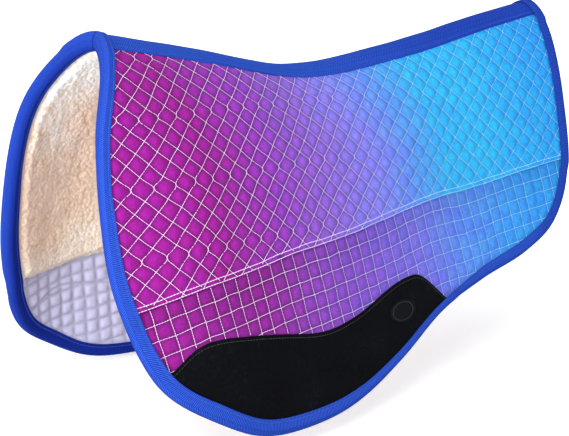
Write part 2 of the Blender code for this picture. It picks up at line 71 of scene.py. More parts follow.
# Section over the back: a crown that eases into a straight side. The reaches of the two ends of
# the curve and the height where the side starts are given at the front, at the rear and as what
# the middle adds
CROWN_REACH = (68.0, 46.0, -10.0)
SIDE_REACH = (112.0, 102.0, -6.0)
SIDE_STARTS_Z = (-221.0, -256.0, -6.0)
SIDE_LEAN = math.radians(13.4)

# Smallest radius with which the layers turn over the spine
FOLD_RADIUS = 45.0

# How much wider and lower the far side hangs, and how far over the back it gains the width
FAR_WIDER = 13.0
FAR_LOWER = 17.0
FAR_REACH = 120.0

# Plan of the side: its half-width at SIDE_LEVEL, then how steeply it runs out in each zone
SIDE_LEVEL = -230.0
HALF_WIDTH = 143.8
FRONT_TUCK = 0.362
SIDE_TAPER = -0.1016
REAR_FLARE = 0.0227
TUCK_ENDS = (-20.0, 60.0)
FLARE_STARTS = (430.0, 540.0)

# Curves on the flat pattern
OUTLINE = (
    (-9, 0), (-27, 60), (-57, 142), (-68, 235), (-64, 320), (-36, 408), (18, 452),
    (92, 472), (190, 451), (310, 397), (395, 358), (480, 341), (565, 333), (628, 309),
    (667, 250), (681, 150), (688, 60), (687, 0),
)
SEAM = ((-90, 342), (0, 318), (92, 290), (186, 256), (288, 230), (401, 219), (520, 225), (720, 236))
FLEECE_HEM = ((-90, 346), (-5, 347), (60, 330), (190, 284), (400, 248), (520, 250), (720, 262))
LEATHER_TOP = (
    (-60, 416), (-23, 397), (18, 369), (84, 360), (178, 354), (236, 337), (300, 310), (338, 301),
    (366, 306), (405, 343), (440, 380),
)

# Thickness of a quilted shell, and heights of the layers above the outer face, as in the solids
SHELL = 2.0
LOWER_TOP = -2.4
LEATHER_BASE = -2.0
LEATHER_FACE = -0.5
TAPE_BASE = 0.7
TAPE_FACE = 2.3
FLEECE_TOP = -12.4
FLEECE_FACE = -19.4
FLEECE_RIM = -14.0
LINING_TOP = -10.4
LINING_FACE = -12.0

# How far the plain back of the pile lies below the top of its solid, and the webbing's below its
# base, and how far inside the binding's edge the pile begins to rise
PILE_BACK = 0.9
TAPE_BACK = 0.4
FLEECE_CLEAR = 1.5

# Width of the binding's face, by the direction from the middle of the side: 0 is the front
FACE_MIDDLE = (310, 200)
FACE_TURNS = (0, 5, 18, 31, 41, 55, 64, 75, 90, 118, 130, 140, 152, 161, 180)
FACE_WIDTHS = (11.8, 13.5, 16, 18, 20, 18, 16.5, 14, 12.5, 11.5, 11.5, 15, 17.5, 17, 18)
BINDING_THICK = 1.5

# Half the width of the spine webbing at its ends
TAPE_HALF_FRONT = 38.0
TAPE_HALF_REAR = 28.0

# The binding steps from one layer to the next: how far it stands over each, where a step starts
# past a layer's edge and how long it is
RAISED = 0.7
STEP_STARTS = 3.0
STEP_DOWN = 18.0
TAPE_STEP_STARTS = 8.0
TAPE_STEP_DOWN = 10.0

# Where the wear leather ends under the binding: s at its front, x at its rear, and the x that
# tells the two apart
LEATHER_ENDS = (386.0, 418.0)
FRONT_PART = 6

# Pitch of the diamonds along the spine and over the back, the crossing that they are counted
# from, and how closely their rows follow the dip of the spine
DIAMOND = (24.5, 25.0)
DIAMOND_AT = (39.0, 125.0)
HANG = 1.07

# Rows of stems: distance between two, reach of the pull towards one, the stations between which
# the pull fades, and what is left of it
STEM_ROW = 75.0
STEM = 4.2
STEM_FADES = (230.0, 400.0)
STEM_LEFT = 0.4

# Pitch of the squares along the seam and away from it, their first column and row, how far the
# columns lean, the one column that starts late, and how far from the seam it does
SQUARE = (17.4, 18.0)
SQUARE_AT = (0.7, 16.0)
COLUMN_LEAN = 0.155
LATE_COLUMN = 34
LATE_START = 62

# Rise of each quilting, how steeply a cell rises from its lines, and how round its valleys are
DIAMOND_LOFT = 3.0
SQUARE_LOFT = 2.2
LINING_LOFT = 2.5
CROWN = 2.4
LINING_CROWN = 3.4
VALLEY = 0.016

# Seeds of the needle's strayings over the two panels
DIAMOND_SEED = 11
SQUARE_SEED = 21

# How far rows of stitches lie from their edges; the binding's is a share of its face
SEAM_ROWS = (1.9, 6.9)
LEATHER_ROW = 4.2
TAPE_ROW = 4.0
BINDING_ROW = 0.8

# Stations along the pad, and the share of a stitch's size that stands out of the cloth there
THREAD_SINKS = ((120, 300, 450), (1.0, 0.86, 0.7))

# Cloth under the binding ends this far inside the outline
UNDER_BINDING = 3.0

# A fine face has this many steps for one of the plain face behind it
COARSE = 4

# Badge
BADGE_AT = (322.0, 339.0)
BADGE_SIZE = (46.0, 28.0)

NEAR = -1
FAR = 1
SIDES = ((NEAR, "left"), (FAR, "right"))


def spline(points, step):
    """Points about every step along a smooth curve through the given ones."""
    out = []
    last = len(points) - 1
    for i in range(last):
        p, q, r, w = (np.array(points[min(max(k, 0), last)], float) for k in range(i - 1, i + 3))
        count = max(1, round(math.dist(q, r) / step))
        for k in range(count):
            t = k / count
            out.append(0.5 * (2 * q + (r - p) * t + (2 * p - 5 * q + 4 * r - w) * t * t
                              + (3 * q - p - 3 * r + w) * t ** 3))
    out.append(np.array(points[last], float))
    return np.array(out)


SPINE_CURVE = spline(SPINE_LINE, 12)
SEAM_CURVE = spline(SEAM, 12)
HEM_CURVE = spline(FLEECE_HEM, 12)
LEATHER_CURVE = spline(LEATHER_TOP, 6)
EDGE = spline(OUTLINE, 3)
PAD_DROP = max(s for _, s in OUTLINE)


def on_curve(curve):
    return lambda x: np.interp(x, curve[:, 0], curve[:, 1])


spine_at = on_curve(SPINE_CURVE)
seam_at = on_curve(SEAM_CURVE)
hem_at = on_curve(HEM_CURVE)
leather_at = on_curve(LEATHER_CURVE)
ORIGIN_Z = float(spine_at(ORIGIN_X)) + FLEECE_FACE


def tape_half(x):
    """Half the width of the spine webbing."""
    return TAPE_HALF_FRONT + (TAPE_HALF_REAR - TAPE_HALF_FRONT) * np.clip(x / OUTLINE[-1][0], 0, 1)


def varied(values, x):
    """Value at x of one that is given at the front, at the rear and as what the middle adds."""
    front, rear, middle = values
    w = np.clip((x - FRONT_X) / (REAR_X - FRONT_X), 0, 1)
    return front + (rear - front) * w + middle * 4 * w * (1 - w)


def ramp(x, ends):
    """Integral of a slope that grows from 0 to 1 between two stations."""
    t = min(max(x - ends[0], 0), ends[1] - ends[0])
    return t * t / (2 * (ends[1] - ends[0])) + max(x - ends[1], 0)


def run_out(x):
    """How far the side has run out at x: its slope goes from tuck to taper to flare."""
    return (FRONT_TUCK * x + (SIDE_TAPER - FRONT_TUCK) * ramp(x, TUCK_ENDS)
            + (REAR_FLARE - SIDE_TAPER) * ramp(x, FLARE_STARTS))


TABLE_STEP = 2.0
TABLE_X = np.arange(-140, 771, TABLE_STEP)
TABLE_S = np.arange(0, 601, TABLE_STEP)


def section(x):
    """(y, z) of the outer face at x for each s of the table: a curve, then the straight side."""
    top = spine_at(x)
    start = varied(SIDE_STARTS_Z, x)
    out = HALF_WIDTH + run_out(x) - run_out(0) + (SIDE_LEVEL - start) * math.tan(SIDE_LEAN)
    reach = varied(SIDE_REACH, x)
    ys = np.array((0, varied(CROWN_REACH, x), out - reach * math.sin(SIDE_LEAN), out))
    zs = np.array((top, top, start + reach * math.cos(SIDE_LEAN), start))
    t = np.linspace(0, 1, 97)[:, None]
    w = np.hstack(((1 - t) ** 3, 3 * (1 - t) ** 2 * t, 3 * (1 - t) * t * t, t ** 3))
    y, z = w @ ys, w @ zs
    y = np.append(y, y[-1] + PAD_DROP * math.sin(SIDE_LEAN))
    z = np.append(z, z[-1] - PAD_DROP * math.cos(SIDE_LEAN))
    s = np.append(0, np.cumsum(np.hypot(np.diff(y), np.diff(z))))
    return np.interp(TABLE_S, s, y), np.interp(TABLE_S, s, z)


TABLE = np.array([np.stack(section(x), 1) for x in TABLE_X])


def looked_up(table, x, s):
    """Value of a table over the pattern, between its points."""
    i = np.clip((x - TABLE_X[0]) / TABLE_STEP, 0, len(TABLE_X) - 1.001)
    j = np.clip(s / TABLE_STEP, 0, len(TABLE_S) - 1.001)
    a, b = i.astype(int), j.astype(int)
    i, j = i - a, j - b
    if table.ndim == 3:
        i, j = i[..., None], j[..., None]
    return ((table[a, b] * (1 - j) + table[a, b + 1] * j) * (1 - i)
            + (table[a + 1, b] * (1 - j) + table[a + 1, b + 1] * j) * i)


def outer_face(x, s):
    found = looked_up(TABLE, x, np.abs(s))
    return np.stack((x, found[..., 0] * np.where(s < 0, -1, 1), found[..., 1]), -1)


def drape(x, s, h, side=NEAR, stride=3):
    """Points of the draped pad, in metres, from the flat pattern; slopes are taken over a stride."""
    x, s, h = (np.asarray(v, float) for v in np.broadcast_arrays(x, s, h))
    point = outer_face(x, s)
    ahead = outer_face(x + stride, s) - outer_face(x - stride, s)
    down = outer_face(x, s + stride) - outer_face(x, s - stride)
    n = np.cross(ahead, down)
    size = np.linalg.norm(n, axis=-1)
    across = np.hypot(n[..., 1], n[..., 2])
    fold = np.abs(s) / FOLD_RADIUS
    turn = np.clip(np.arctan2(n[..., 1], n[..., 2]), -fold, fold)
    px = point[..., 0] + h * n[..., 0] / size
    py = point[..., 1] + h * across * np.sin(turn) / size
    pz = point[..., 2] + h * across * np.cos(turn) / size
    w = np.clip(np.abs(s) / FAR_REACH, 0, 1)
    far = side * s > 0
    py += np.where(far, np.copysign(FAR_WIDER * w * w * (3 - 2 * w), s), 0)
    pz -= np.where(far, FAR_LOWER * np.abs(s) / PAD_DROP, 0)
    return np.stack(((px - ORIGIN_X) / 1000, side * py / 1000, (pz - ORIGIN_Z) / 1000), -1)


def inset(depth):
    """EDGE moved into the pad."""
    ahead = np.vstack((EDGE[1:], EDGE[-1:])) - np.vstack((EDGE[:1], EDGE[:-1]))
    n = np.stack((ahead[:, 1], -ahead[:, 0]), 1)
    n /= np.linalg.norm(n, axis=1)[:, None]
    n[0] = (1, 0)
    n[-1] = (-1, 0)
    return EDGE + n * np.reshape(depth, (-1, 1))


def rim_table():
    """How far each point of the table lies inside the outline, below 0 outside it."""
    x, s = np.meshgrid(TABLE_X, TABLE_S, indexing="ij")
    best = np.full(x.shape, np.inf)
    inside = np.zeros(x.shape, bool)
    for (x0, s0), (x1, s1) in zip(EDGE, EDGE[1:]):
        dx, ds = x1 - x0, s1 - s0
        t = np.clip(((x - x0) * dx + (s - s0) * ds) / (dx * dx + ds * ds), 0, 1)
        best = np.minimum(best, np.hypot(x - x0 - t * dx, s - s0 - t * ds))
        crosses = (x0 <= x) != (x1 <= x)
        if dx:
            inside ^= crosses & (s0 + ds * (x - x0) / dx > s)
    return np.where(inside, best, -best)


RIM_TABLE = rim_table()


def rim_distance(x, s):
    return looked_up(RIM_TABLE, np.asarray(x, float), np.abs(np.asarray(s, float)))


def face_width(x, s):
    """Width of the binding's face at a point of the outline."""
    turn = np.degrees(np.arctan2(np.maximum(np.abs(s) - FACE_MIDDLE[1], 0), FACE_MIDDLE[0] - x))
    return np.interp(turn, FACE_TURNS, FACE_WIDTHS)


def clear(x, s):
    """How far a point lies inside the binding's edge."""
    return rim_distance(x, s) - face_width(x, s)


def smooth(value):
    """Eases from 0 to 1 as the value does."""
    t = np.clip(value, 0, 1)
    return t * t * (3 - 2 * t)


def stroke(distance, at, width):
    """1 at one distance and 0 a little to either side of it."""
    return np.exp(-((distance - at) / width) ** 2)


def wander(x, s, seed, size):
    """Smooth wander of about -1 to 1 over the pattern, with swings of the given size in mm."""
    rng = np.random.default_rng(seed)
    total = 0
    for _ in range(6):
        turn = rng.uniform(0, 2 * math.pi)
        rate = 2 * math.pi / (size * rng.uniform(0.7, 1.6))
        total = total + np.sin(rate * (x * math.cos(turn) + s * math.sin(turn))
                               + rng.uniform(0, 2 * math.pi))
    return total / 2.6


def tufts(x, s, seed, size):
    """Random lumps of about the given size in mm, from -1 to 1."""
    count = 256
    field = np.random.default_rng(seed).uniform(-1, 1, (count, count))
    i, j = x / size + 60, np.abs(s) / size + 4
    a, b = i.astype(int), j.astype(int)
    u, v = smooth(i - a), smooth(j - b)
    a, b = a % (count - 1), b % (count - 1)
    return ((field[a, b] * (1 - v) + field[a, b + 1] * v) * (1 - u)
            + (field[a + 1, b] * (1 - v) + field[a + 1, b + 1] * v) * u)


# Quilting lines: the cloth hangs level, so the rows follow the dip of the spine, and every
# third row the needle bars meet, which leaves a short upright stem at each crossing
def creep(x, s, seed):
    """How far the needle strayed along the pad and over the back."""
    a = 0.9 * wander(x, s, seed, 120) + 0.4 * wander(x, s, seed + 1, 34)
    b = 0.9 * wander(x, s, seed + 2, 120) + 0.4 * wander(x, s, seed + 3, 34)
    return a, b


def hung(x):
    """Where the row that the diamonds are counted from lies at x."""
    return HANG * np.minimum(spine_at(x), 0) + DIAMOND_AT[1]


def pulled(w):
    """How far the cloth is drawn towards a row of stems."""
    near = w - STEM_ROW * np.round(w / STEM_ROW)
    return near * np.exp(-(near / STEM) ** 2)


def stem_share(x):
    return np.interp(x, STEM_FADES, (1, STEM_LEFT))


# Places over the back, and where the full pull moves them; the last term keeps them apart
STEM_S = np.arange(-300, 520, 0.25)
STEM_V = STEM_S - pulled(STEM_S) + 1e-6 * STEM_S


def diamond_place(x, s):
    """Place on the cloth, counted in diamonds."""
    a, b = creep(x, s, DIAMOND_SEED)
    w = s - b - hung(x)
    return (x - a - DIAMOND_AT[0]) / DIAMOND[0], (w - stem_share(x) * pulled(w)) / DIAMOND[1]


def diamond_line(u, v):
    """Where a point of the cloth, counted in diamonds, lies on the pattern: found by repetition."""
    x0 = DIAMOND_AT[0] + u * DIAMOND[0]
    plain = v * DIAMOND[1]
    share = stem_share(x0)
    below = plain + share * (np.interp(plain, STEM_V, STEM_S) - plain)
    for _ in range(8):
        below = np.where(share < 1, plain + share * pulled(below), below)
    x, s = x0, below + hung(x0)
    for _ in range(3):
        a, b = creep(x, s, DIAMOND_SEED)
        x = x0 + a
        s = below + hung(x) + b
    return np.stack((x, s), 1)


def to_line(value):
    """0 on a line at each whole number, 1 midway between two."""
    d = 1 - 2 * np.abs(value - np.floor(value) - 0.5)
    return np.sqrt(d * d + VALLEY) - math.sqrt(VALLEY)


def puff(d, power=CROWN):
    """0 on a quilting line, and rising steeply from it to 1."""
    return 1 - np.maximum(1 - d, 0) ** power


def diamond_puff(x, s):
    u, v = diamond_place(x, s)
    return puff(to_line(u + v)) * puff(to_line(u - v))


def square_puff(x, s, power=CROWN):
    a, b = creep(x, s, SQUARE_SEED)
    t = s - b - seam_at(x - a)
    row = to_line((t - SQUARE_AT[1]) / SQUARE[1])
    column = to_line((x - a - SQUARE_AT[0] - COLUMN_LEAN * t) / SQUARE[0])
    return puff(row, power) * puff(column, power)


# Faces: heights and distances in mm
def diamond_relief(x, s):
    """Face of the upper panel, with the flat hem and its ridge along the seam."""
    room = np.minimum(s - tape_half(x), clear(x, s))
    from_seam = seam_at(x) - s
    keep = smooth(room / 7) * smooth((from_seam - 7.5) / 9)
    ridge = 0.6 * stroke(from_seam, 4.3, 1.3) * smooth(room / 5)
    pucker = 0.22 * wander(x, s, 31, 9) * smooth(1 - from_seam / 22)
    tension = 0.16 * wander(x, s, 41, 13) + 0.5 * wander(x, s, 43, 120)
    rolled = -1.9 * smooth(1 - from_seam / 1.4)
    return (DIAMOND_LOFT * diamond_puff(x, s) * keep + ridge
            + (pucker + tension) * smooth(room / 12) + rolled)


def square_face(x, s):
    """Face of the lower panel, flat under the seam, the leather and the binding."""
    room = np.minimum(leather_at(x) - s, clear(x, s))
    below = s - seam_at(x)
    keep = smooth(room / 8) * smooth(below / 5)
    tension = 0.2 * wander(x, s, 51, 11) + 0.35 * wander(x, s, 53, 90)
    raised = SQUARE_LOFT * square_puff(x, s) * keep + tension * smooth(room / 12) * smooth(below / 12)
    return LOWER_TOP + raised


def lining_puff(x, s):
    """The lining has the lower panel's rows and the row that holds the leather."""
    return square_puff(x, s, LINING_CROWN) * smooth(np.abs(s - leather_at(x) - LEATHER_ROW) / 3.6)


def lining_face(x, s):
    """Face of the lining, flat under the binding and the fleece's hem."""
    keep = smooth(clear(x, s) / 10) * smooth((s - hem_at(x)) / 6)
    return LINING_FACE - (LINING_LOFT * lining_puff(x, s) + 0.3 * wander(x, s, 63, 16)) * keep


def fleece_height(x, s):
    """Face of the pile, which thins towards the binding and towards its hem."""
    room = np.minimum(clear(x, s) - FLEECE_CLEAR, hem_at(x) - s)
    lumps = 0.5 * wander(x, s, 71, 40) + 0.5 * tufts(x, s, 73, 9) + 0.45 * tufts(x, s, 75, 4.6)
    return FLEECE_RIM + (FLEECE_FACE - FLEECE_RIM - lumps) * smooth(room / 9)


def ragged_hem(x):
    """Lower end of the fleece."""
    return hem_at(x) + 1.8 * tufts(x, 0 * x, 77, 5)


def leather_height(x, s):
    """Face of the wear leather, with its cut edge and the dent of its row of stitches."""
    room = np.minimum(s - leather_at(x), 30)
    edge = -0.9 * (1 - smooth(room / 1.6))
    dent = -0.35 * stroke(room, LEATHER_ROW, 1.1)
    wave = 0.3 * wander(x, s, 91, 40) * smooth(room / 12) * smooth((rim_distance(x, s) - 16) / 8)
    return LEATHER_FACE + edge + dent + wave


def tape_height(x, s):
    """Webbing that lies flat over the spine and is sewn down along both edges."""
    room = tape_half(x) - np.abs(s)
    dent = -0.45 * stroke(room, TAPE_ROW, 1.2)
    edge = -1.2 * (1 - smooth(room / 1.3))
    swell = 0.25 * wander(x, s, 95, 60) * smooth(room / 8)
    return TAPE_FACE + dent + edge + swell


# Shades: painted shade, how much darker a cloth's colour is made, in the creases of its quilting above
# all, and less so where its dye is pale
def crease_depth(x):
    return np.interp(x, (150, 420), (0.5, 0.1))


def diamond_shade(x, s):
    return crease_depth(x) * (1 - diamond_puff(x, s)) ** CROWN


def square_shade(x, s):
    # Painted shadow on the lower panel, just under the fold of the seam
    painted_seam_shadow = 0.14 * (1 - smooth((s - seam_at(x)) / 48))
    return 1 - (1 - crease_depth(x) * (1 - square_puff(x, s)) ** CROWN) * (1 - painted_seam_shadow)


def lining_shade(x, s):
    return 0.5 * (1 - lining_puff(x, s)) ** 2


def tape_shade(x, s):
    # Painted shade: the webbing is darker towards the rear
    return 0.4 * smooth((x - 180) / 380)


# Binding
def binding_outer(x, s):
    """Height of the binding's outer leg over what it covers at that point of the outline."""
    front, rear = LEATHER_ENDS
    leather = smooth(np.where(x < FRONT_PART, s - front + STEP_DOWN, rear + STEP_DOWN - x) / STEP_DOWN)
    upper = 1 - smooth((s - seam_at(x) - STEP_STARTS) / STEP_DOWN)
    tape = 1 - smooth((s - tape_half(x) - TAPE_STEP_STARTS) / TAPE_STEP_DOWN)
    h = LOWER_TOP + RAISED
    h = h + (LEATHER_FACE + RAISED - h) * leather
    h = h + (RAISED - h) * upper
    return h + (TAPE_FACE + RAISED - h) * tape


def binding_inner(x, s):
    """Height of its inner leg, which covers the fleece and then the lining."""
    lined = smooth((s - hem_at(x) - STEP_STARTS) / STEP_DOWN)
    fleece = FLEECE_RIM - RAISED
    return fleece + (LINING_FACE - RAISED - fleece) * lined


# Meshes
def placed(name, data):
    """A new object of the scene."""
    made = bpy.data.objects.new(name, data)
    bpy.context.scene.collection.objects.link(made)
    return made


def add(name, points, faces, material, pattern=None, painted_shade=None):
    """A new piece; pattern gives each vertex its place on the cloth, in metres, as a UV map."""
    mesh = bpy.data.meshes.new(name)
    mesh.from_pydata(points.tolist(), [], faces)
    mesh.validate()
    mesh.shade_smooth()
    if pattern is not None:
        layer = mesh.uv_layers.new(name="pattern")
        loops = np.empty(len(mesh.loops), np.int32)
        mesh.loops.foreach_get("vertex_index", loops)
        layer.uv.foreach_set("vector", np.ascontiguousarray(pattern[loops] / 1000, np.float32).ravel())
    # Each vertex's painted shade, kept as an attribute that darkens the material's colour
    if painted_shade is not None:
        mesh.attributes.new("painted_shade", "FLOAT", "POINT").data.foreach_set("value", np.ravel(painted_shade))
    mesh.materials.append(material)
    return placed(name, mesh)


def facing_out(made):
    """Turns the piece's faces outwards."""
    bm = bmesh.new()
    bm.from_mesh(made.data)
    bmesh.ops.recalc_face_normals(bm, faces=bm.faces[:])
    if bm.calc_volume(signed=True) < 0:
        bmesh.ops.reverse_faces(bm, faces=bm.faces[:])
    bm.to_mesh(made.data)
    bm.free()
    return made


def numbered(shape):
    """Vertex numbers of a grid."""
    return np.arange(math.prod(shape)).reshape(shape)


def quads(at):
    """Faces of a grid of vertex numbers."""
    return np.stack((at[:-1, :-1], at[1:, :-1], at[1:, 1:], at[:-1, 1:]), -1).reshape(-1, 4)


def around(rings, ahead):
    """Faces between closed rings of vertex numbers and the rings ahead of them."""
    faces = np.stack((rings, np.roll(rings, -1, 1), np.roll(ahead, -1, 1), ahead), -1)
    return faces.reshape(-1, 4).tolist()


def points_for(length, step):
    """How many points lie about every step of a length, so that the coarse face fits as well."""
    return COARSE * round(length / step / COARSE) + 1


def band(from_s, to_s, step, high=260):
    """Grid of (x, s) between the ends of the pad, from one curve over s to another."""
    curve = inset(UNDER_BINDING)
    middle = int(np.argmax(curve[:, 1]))
    front, rear = curve[:middle], curve[middle:][::-1]
    front, rear = (np.array([p for p, q in zip(c[:-1], c[1:]) if q[1] > p[1]]) for c in (front, rear))
    u = np.linspace(0, 1, points_for(REAR_X - FRONT_X, step))[:, None]
    v = np.linspace(0, 1, points_for(high, step))[None, :]
    x = FRONT_X + (REAR_X - FRONT_X) * u + 0 * v
    for _ in range(12):
        s = from_s(x) + (to_s(x) - from_s(x)) * v
        start = np.interp(s, front[:, 1], front[:, 0])
        end = np.interp(s, rear[:, 1], rear[:, 0])
        x = start + (end - start) * u
    return x, s


def skirt(from_s, ends, step, high=200):
    """Grid of (x, s) from a curve over s down to the lower edge of the pad."""
    curve = inset(UNDER_BINDING)
    low = curve[curve[:, 1] > from_s(curve[:, 0]) - 2]
    low = low[np.argsort(low[:, 0])]
    x = np.linspace(*ends, points_for(ends[1] - ends[0], step))[:, None]
    bottom = np.interp(x, low[:, 0], low[:, 1])
    v = np.linspace(0, 1, points_for(high, step))[None, :]
    s = from_s(x) + (np.maximum(bottom, from_s(x) + 1.5) - from_s(x)) * v
    return x + 0 * v, s


def plate(name, grid, top_height, base_height, side, material, shade=None):
    """Closed piece of cloth: a fine face that shows and a plain, coarser one behind it."""
    x, s = grid
    top = drape(x, s, top_height(x, s), side).reshape(-1, 3)
    cx, cs = x[::COARSE, ::COARSE], s[::COARSE, ::COARSE]
    base = drape(cx, cs, base_height, side).reshape(-1, 3)
    at, low = numbered(x.shape), x.size + numbered(cx.shape)
    faces = quads(at).tolist() + quads(low)[:, (0, 3, 2, 1)].tolist()
    for fine, coarse in ((at[:, 0], low[:, 0]), (at[-1, :], low[-1, :]),
                         (at[::-1, -1], low[::-1, -1]), (at[0, ::-1], low[0, ::-1])):
        for k in range(len(coarse) - 1):
            run = fine[COARSE * k:COARSE * (k + 1) + 1].tolist()
            faces.append([int(coarse[k]), int(coarse[k + 1]), *run[::-1]][::-1])
    points = np.vstack((top, base))
    pattern = np.vstack((np.stack((x, s), -1).reshape(-1, 2), np.stack((cx, cs), -1).reshape(-1, 2)))
    painted_shade = np.zeros(len(points))
    if shade:
        painted_shade[:x.size] = shade(x, s).ravel()
    return facing_out(add(name, points, faces, material, pattern, painted_shade))


def threads(name, lines, height, side, material, length=2.9, gap=0.1, radius=0.34):
    """Stitches along lines over the pattern, each a small plump dash."""
    centres, ways = [], []
    for line in lines:
        run = np.append(0, np.cumsum(np.hypot(*np.diff(line, axis=0).T)))
        at = np.arange((length + gap) / 2, run[-1], length + gap)
        a = np.stack([np.interp(at - length / 2, run, line[:, k]) for k in (0, 1)], 1)
        b = np.stack([np.interp(at + length / 2, run, line[:, k]) for k in (0, 1)], 1)
        centres.append((a + b) / 2)
        ways.append(b - a)
    centre, way = np.vstack(centres), np.vstack(ways)
    size = np.hypot(*way.T)
    keep = size > length * 0.6
    centre, way = centre[keep], way[keep] / size[keep][:, None]
    across = np.stack((-way[:, 1], way[:, 0]), 1)
    dash = []
    for along, fat in ((-0.5, 0.65), (0, 1.0), (0.5, 0.65)):
        for a, c in ((1, 0), (0, 1), (-1, 0), (0, -1)):
            dash.append((along * length, a * radius * fat, c * radius * fat - (1 - fat) * 0.25))
    dash = np.array(dash)
    fat = np.interp(centre[:, 0], *THREAD_SINKS)[:, None]
    flat = (centre[:, None] + way[:, None] * dash[None, :, :1]
            + across[:, None] * dash[None, :, 1:2] * fat[..., None])
    h = height(*centre.T)[:, None] + (radius * 0.8 + dash[None, :, 2]) * fat
    points = drape(flat[..., 0], flat[..., 1], h, side).reshape(-1, 3)
    rings = numbered((3, 4))
    skin = np.array(around(rings[:-1], rings[1:]) + [rings[0, ::-1].tolist(), rings[-1].tolist()])
    if side == NEAR:
        skin = skin[:, ::-1]
    faces = (skin[None] + len(dash) * np.arange(len(centre))[:, None, None]).reshape(-1, 4).tolist()
    return add(name, points, faces, material)


def runs(line, keep):
    """The stretches of a line where keep holds."""
    out, start = [], None
    for i, on in enumerate(keep):
        if on and start is None:
            start = i
        if not on and start is not None:
            out.append(line[start:i])
            start = None
    if start is not None:
        out.append(line[start:])
    return [run for run in out if len(run) > 8]


def up_to_binding(row):
    """The stretches of a row of stitches that end just under the binding."""
    return runs(row, clear(*row.T) > -2)


def diamond_lines():
    """Lines of the diamonds, with ragged ends short of the seam."""
    v = np.arange(-6, 10, 0.02)
    lines = []
    for k in range(-16, 38):
        for way in (-1, 1):
            line = diamond_line(k + way * v, v)
            x, s = line.T
            keep = ((s > tape_half(x) - 1) & (s < seam_at(x) - 2.0 + 2.5 * wander(x, s, 81, 17))
                    & (clear(x, s) > -1))
            lines += runs(line, keep)
    return lines


def square_lines():
    """Rows along the seam and columns away from it, as the needle strayed."""
    x = np.arange(-80, 700, 0.8)
    ideal = [np.stack((x, seam_at(x) + SQUARE_AT[1] + k * SQUARE[1]), 1) for k in range(14)]
    for k in range(-6, 42):
        t = np.arange(LATE_START if k == LATE_COLUMN else -4, 240, 0.8)
        column = SQUARE_AT[0] + k * SQUARE[0] + COLUMN_LEAN * t
        ideal.append(np.stack((column, seam_at(column) + t), 1))
    lines = []
    for line in ideal:
        moved = line + np.stack(creep(*line.T, SQUARE_SEED), 1)
        x, s = moved.T
        lines += runs(moved, (s > seam_at(x) - 1) & (s < leather_at(x) + 1) & (clear(x, s) > -1))
    return lines


# Materials: sizes in metres unless they say mm. Pitch of the yarns of plain cotton
YARN_PITCH = 0.0009

# The dye's ramp: where along the pad it starts and how long it is, in mm, and how far its colours
# run ahead near the spine
DYE_FROM = -80
DYE_LENGTH = 800
DYE_AHEAD = 25


def lin(*rgb):
    """Linear colour from the 0 to 255 values that a screen shows."""
    return tuple(c / 255 / 12.92 if c / 255 <= 0.04045 else ((c / 255 + 0.055) / 1.055) ** 2.4
                 for c in rgb)


class Nodes:
    """A material whose nodes are added one by one."""

    def __init__(self, name, roughness=0.85, sheen=0.0, specular=0.3):
        self.made = bpy.data.materials.new(name)
        self.made.use_nodes = True
        self.tree = self.made.node_tree
        self.shader = self.tree.nodes["Principled BSDF"]
        self.shader.inputs["Roughness"].default_value = roughness
        self.shader.inputs["Specular IOR Level"].default_value = specular
        self.shader.inputs["Sheen Weight"].default_value = sheen
        self.shader.inputs["Sheen Roughness"].default_value = 0.45

    def add(self, kind, inputs=(), **settings):
        node = self.tree.nodes.new("ShaderNode" + kind)
        for key, value in settings.items():
            setattr(node, key, value)
        for key, value in dict(inputs).items():
            socket = node.inputs[key]
            if isinstance(value, bpy.types.NodeSocket):
                self.tree.links.new(value, socket)
            else:
                socket.default_value = value
        return node

    def math(self, operation, a, b=0.0, c=0.5, clamp=False):
        node = self.add("Math", {0: a, 1: b, 2: c}, operation=operation, use_clamp=clamp)
        return node.outputs[0]

    def place(self):
        return self.add("TexCoord").outputs["Object"]

    def pattern(self):
        place = self.add("UVMap", uv_map="pattern").outputs[0]
        return self.add("SeparateXYZ", {0: place}).outputs[:2]

    def painted_shade(self):
        return self.add("Attribute", attribute_name="painted_shade").outputs["Fac"]

    def noise(self, scale, detail=3.0, rough=0.5):
        node = self.add("TexNoise", {"Vector": self.place(), "Scale": scale, "Detail": detail,
                                     "Roughness": rough})
        return node.outputs["Fac"]

    def mix(self, factor, a, b, blend="MIX"):
        a, b = ((*value, 1) if isinstance(value, tuple) else value for value in (a, b))
        return self.add("Mix", {0: factor, 6: a, 7: b}, data_type="RGBA", blend_type=blend).outputs[2]

    def ramp(self, factor, stops, smoothly=True):
        node = self.add("ValToRGB", {0: factor})
        ramp = node.color_ramp
        ramp.interpolation = "EASE" if smoothly else "LINEAR"
        while len(ramp.elements) < len(stops):
            ramp.elements.new(0.5)
        for element, (at, colour) in zip(ramp.elements, stops):
            element.position = at
            element.color = (*colour, 1)
        return node.outputs[0]

    def colour(self, value):
        if isinstance(value, tuple):
            self.shader.inputs["Base Color"].default_value = (*value, 1)
        else:
            self.tree.links.new(value, self.shader.inputs["Base Color"])

    def bump(self, height, distance, strength):
        node = self.add("Bump", {"Height": height, "Distance": distance, "Strength": strength})
        self.tree.links.new(node.outputs[0], self.shader.inputs["Normal"])


def waves(g, coordinate, pitch):
    """A value that swings from 0 to 1 once every pitch."""
    turned = g.math("MULTIPLY", coordinate, 2 * math.pi / pitch)
    return g.math("MULTIPLY_ADD", g.math("SINE", turned), 0.5)


def weave(g, u, v, pitch):
    """Plain weave: over and under in both ways."""
    a, b = (g.math("SINE", g.math("MULTIPLY", way, 2 * math.pi / pitch)) for way in (u, v))
    return g.math("MULTIPLY_ADD", g.math("MULTIPLY", a, b), 0.5)


